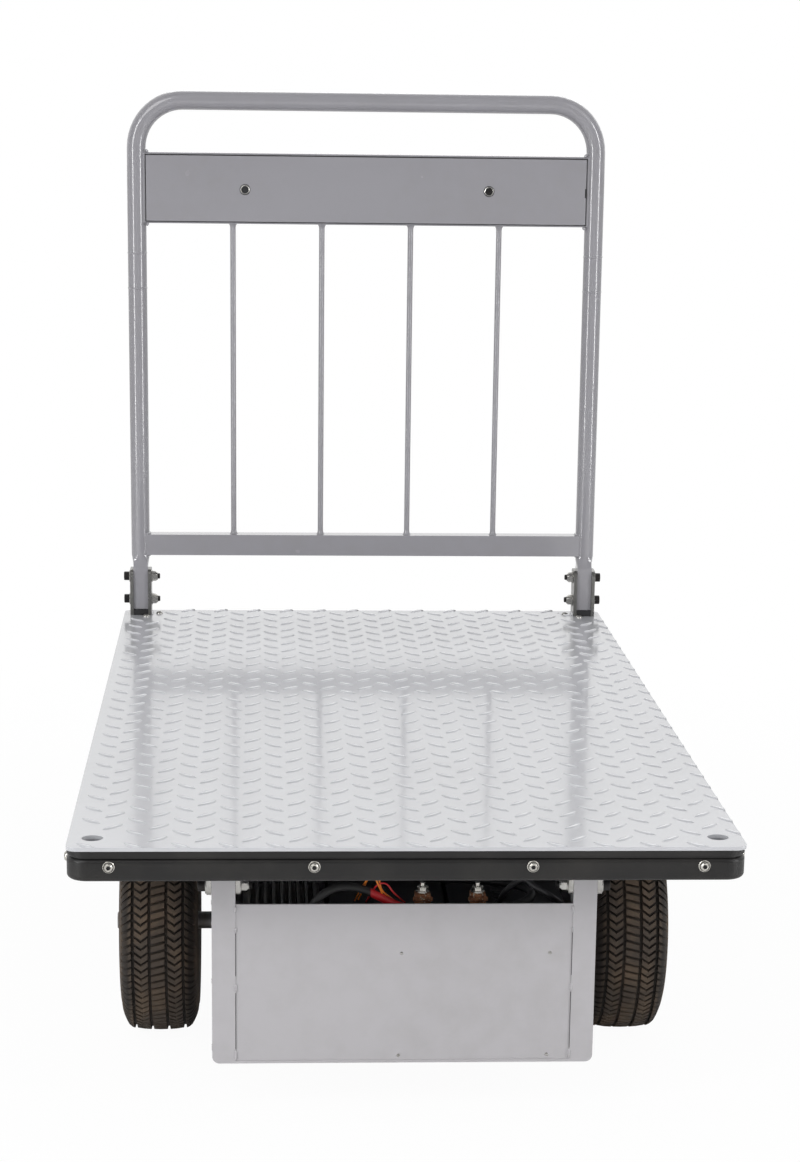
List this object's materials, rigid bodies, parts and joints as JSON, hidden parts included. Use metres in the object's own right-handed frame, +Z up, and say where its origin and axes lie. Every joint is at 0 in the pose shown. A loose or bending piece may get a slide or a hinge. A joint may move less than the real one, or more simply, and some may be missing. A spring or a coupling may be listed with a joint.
{
  "type": "electric material handling cart",
  "caption": "Flat tear-plate platform cart with an upright push handle, an electric drive axle and battery box under one end, and swivel casters under the handle end.",
  "frame": {"origin": "on the floor under the middle of the cart", "axes": "+Z up, +Y along the cart towards the handle end, +X to the right when looking along +Y from the battery end"},
  "size_m": [0.7114, 1.312, 1.0715],
  "materials": {
    "deck_paint": "gloss light grey paint",
    "bumper_rubber": "dull black rubber",
    "zinc": "bright zinc plate",
    "bolts": "zinc and black oxide",
    "black_plastic": "matt black plastic",
    "red_plastic": "gloss red",
    "terminal_brass": "tarnished",
    "controller_metal": "black anodised",
    "red_cable": "red sheath",
    "black_cable": "black sheath",
    "drive_housing": "black paint on cast metal",
    "shaft_steel": "dark oiled steel",
    "rim_paint": "grey paint",
    "tyre_rubber": "dusty black rubber",
    "caster_wheel_body": "moulded grey nylon",
    "caster_rubber": "solid black rubber"
  },
  "bodies": {
    "chassis": {"deck_plate": "deck_paint", "deck_rim": "deck_paint", "cross_members": "deck_paint", "bumper": "bumper_rubber", "caster_beam": "deck_paint", "handle_tube": "deck_paint", "handle_panel": "deck_paint", "lower_rail": "deck_paint", "guard_rods": "deck_paint", "control_unit": "black_plastic", "speed_knob": "black_plastic", "rocker_switch": "red_plastic", "handle_socket_left": "zinc", "handle_socket_right": "zinc", "socket_bolts": "bolts", "battery_box": "deck_paint", "box_hangers": "zinc", "hanger_bolts": "bolts", "battery_left": "black_plastic", "battery_right": "black_plastic", "battery_terminals": "terminal_brass", "motor_controller": "controller_metal", "battery_lead_positive": "red_cable", "battery_lead_link": "red_cable", "battery_lead_negative": "black_cable", "transaxle": "drive_housing", "drive_motor": "drive_housing", "parking_brake": "drive_housing", "axle_bracket_left": "deck_paint", "axle_bracket_right": "deck_paint", "caster_mount_left": "zinc", "caster_mount_right": "zinc"},
    "drive_wheel_left": {"drive_shaft_left": "shaft_steel", "drive_rim_left": "rim_paint", "drive_tyre_left": "tyre_rubber"},
    "drive_wheel_right": {"drive_shaft_right": "shaft_steel", "drive_rim_right": "rim_paint", "drive_tyre_right": "tyre_rubber"},
    "caster_left": {"caster_fork_left": "zinc", "caster_axle_left": "zinc"},
    "caster_right": {"caster_fork_right": "zinc", "caster_axle_right": "zinc"},
    "caster_wheel_left": {"caster_wheel_left": "caster_wheel_body", "caster_tread_left": "caster_rubber"},
    "caster_wheel_right": {"caster_wheel_right": "caster_wheel_body", "caster_tread_right": "caster_rubber"}
  },
  "joints": [
    {"name": "drive_wheel_left_roll", "type": "hinge", "parent": "chassis", "child": "drive_wheel_left", "pos_m": [-0.27, -0.306, 0.128], "axis": [1, 0, 0], "continuous": true},
    {"name": "drive_wheel_right_roll", "type": "hinge", "parent": "chassis", "child": "drive_wheel_right", "pos_m": [0.27, -0.306, 0.128], "axis": [1, 0, 0], "continuous": true},
    {"name": "caster_left_swivel", "type": "hinge", "parent": "chassis", "child": "caster_left", "pos_m": [-0.195, 0.47, 0.22], "axis": [0, 0, 1], "continuous": true},
    {"name": "caster_wheel_left_roll", "type": "hinge", "parent": "caster_left", "child": "caster_wheel_left", "pos_m": [-0.195, 0.415, 0.1], "axis": [1, 0, 0], "continuous": true},
    {"name": "caster_right_swivel", "type": "hinge", "parent": "chassis", "child": "caster_right", "pos_m": [0.195, 0.47, 0.22], "axis": [0, 0, 1], "continuous": true},
    {"name": "caster_wheel_right_roll", "type": "hinge", "parent": "caster_right", "child": "caster_wheel_right", "pos_m": [0.195, 0.415, 0.1], "axis": [1, 0, 0], "continuous": true}
  ]
}
